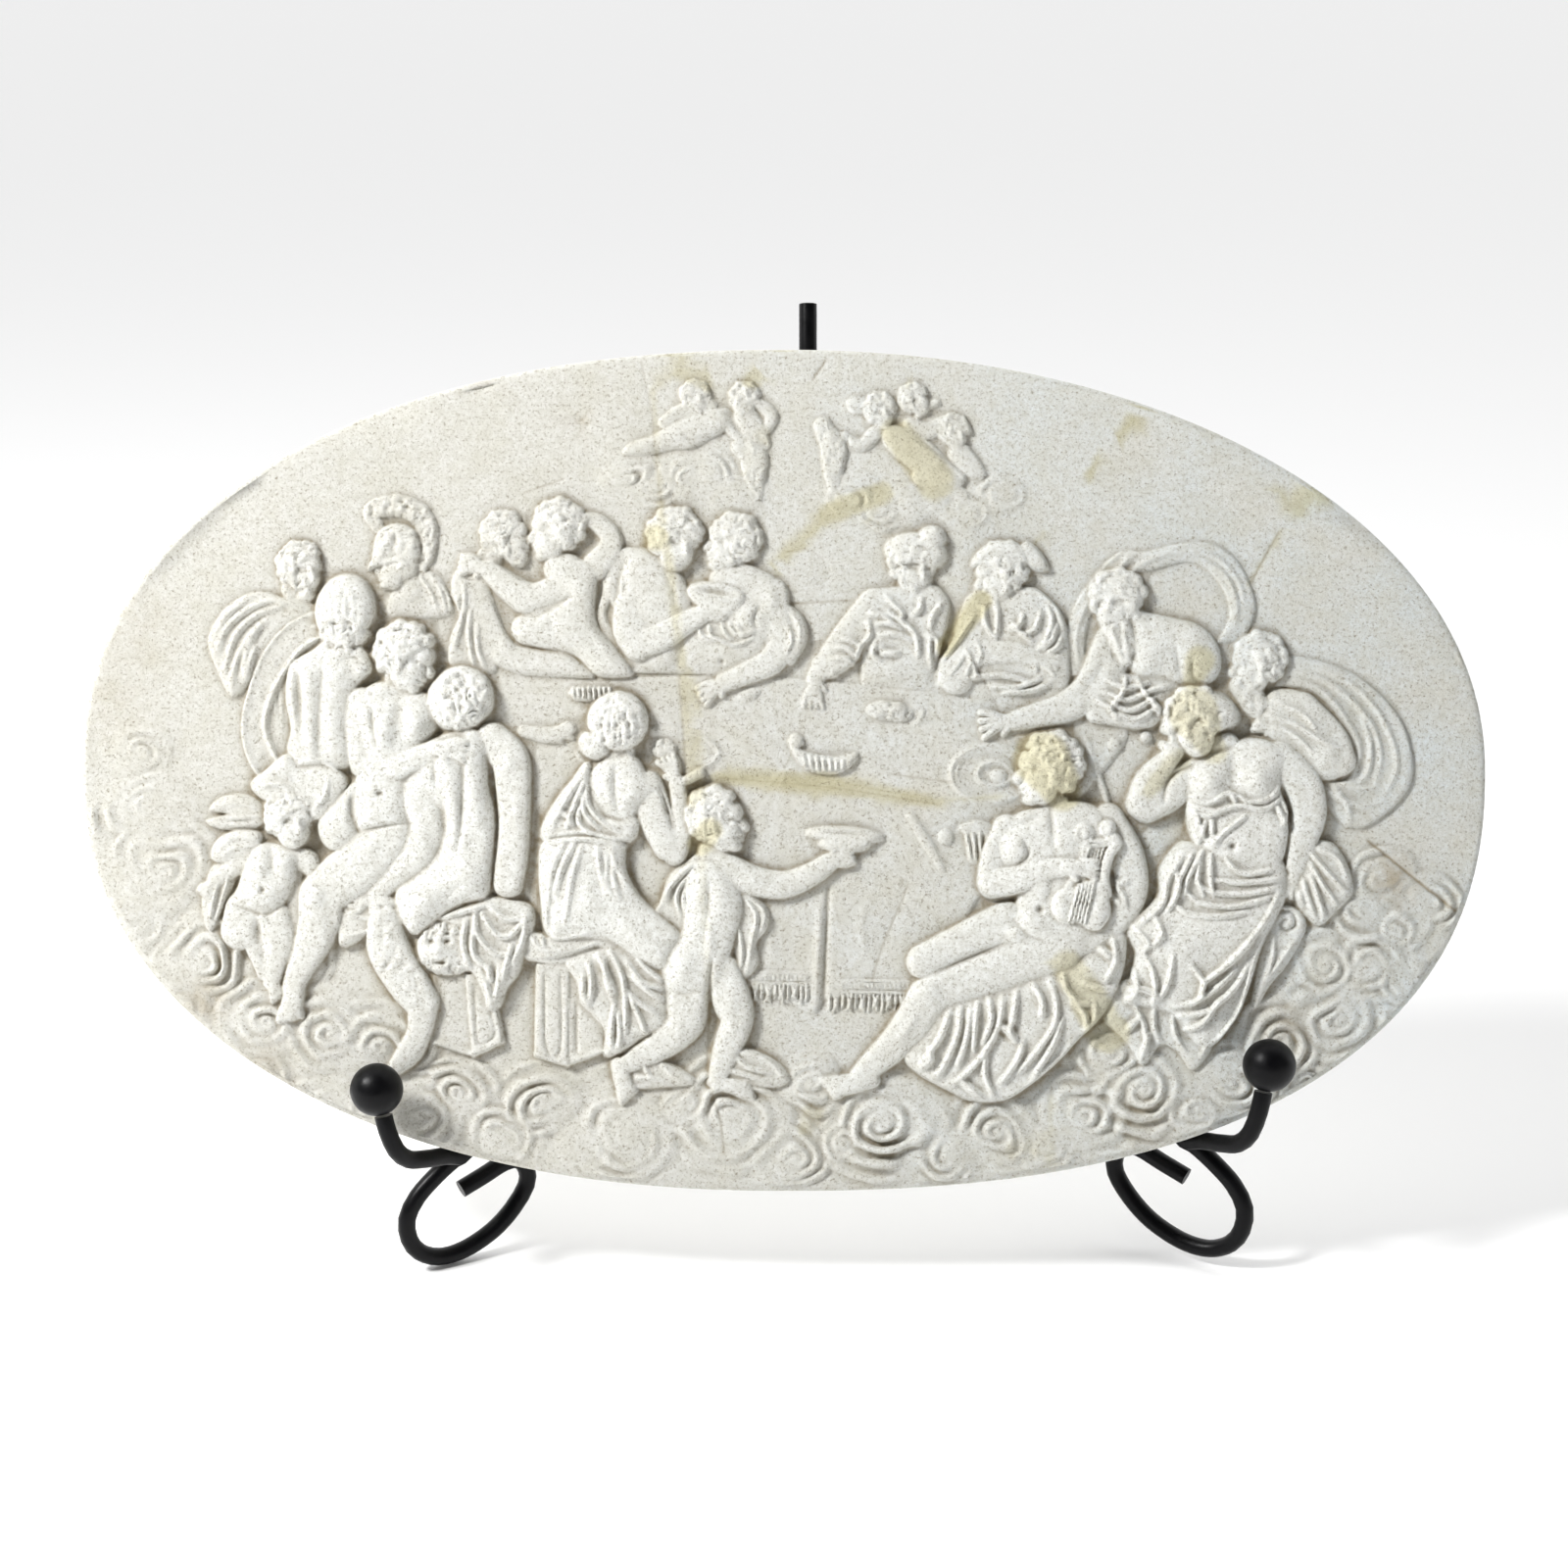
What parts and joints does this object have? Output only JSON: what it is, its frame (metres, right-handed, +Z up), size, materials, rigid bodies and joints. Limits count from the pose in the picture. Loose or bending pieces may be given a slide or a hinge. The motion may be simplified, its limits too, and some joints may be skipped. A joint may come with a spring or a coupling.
{
  "type": "bas-relief plaque",
  "caption": "Oval cast plaque with a banquet of figures in low relief, leaning back on a black wrought-iron display easel.",
  "frame": {"origin": "middle of the whole piece's foot, on the surface that it stands on", "axes": "+X along the plaque's long side, to the right seen from the front; +Z up; the carved front looks towards -Y and leans back 17 degrees"},
  "size_m": [0.4, 0.1716, 0.2705],
  "materials": {
    "plaster": "matt cast plaster, ivory white with brown grey dirt and olive glue stains",
    "iron": "satin black paint on bent iron rod"
  },
  "bodies": {
    "root": {"plaque": "plaster", "back_leg": "iron", "front_leg_left": "iron", "front_leg_right": "iron", "rest_arm_left": "iron", "rest_arm_right": "iron", "ball_left": "iron", "ball_right": "iron", "cross_bar": "iron"}
  },
  "joints": []
}
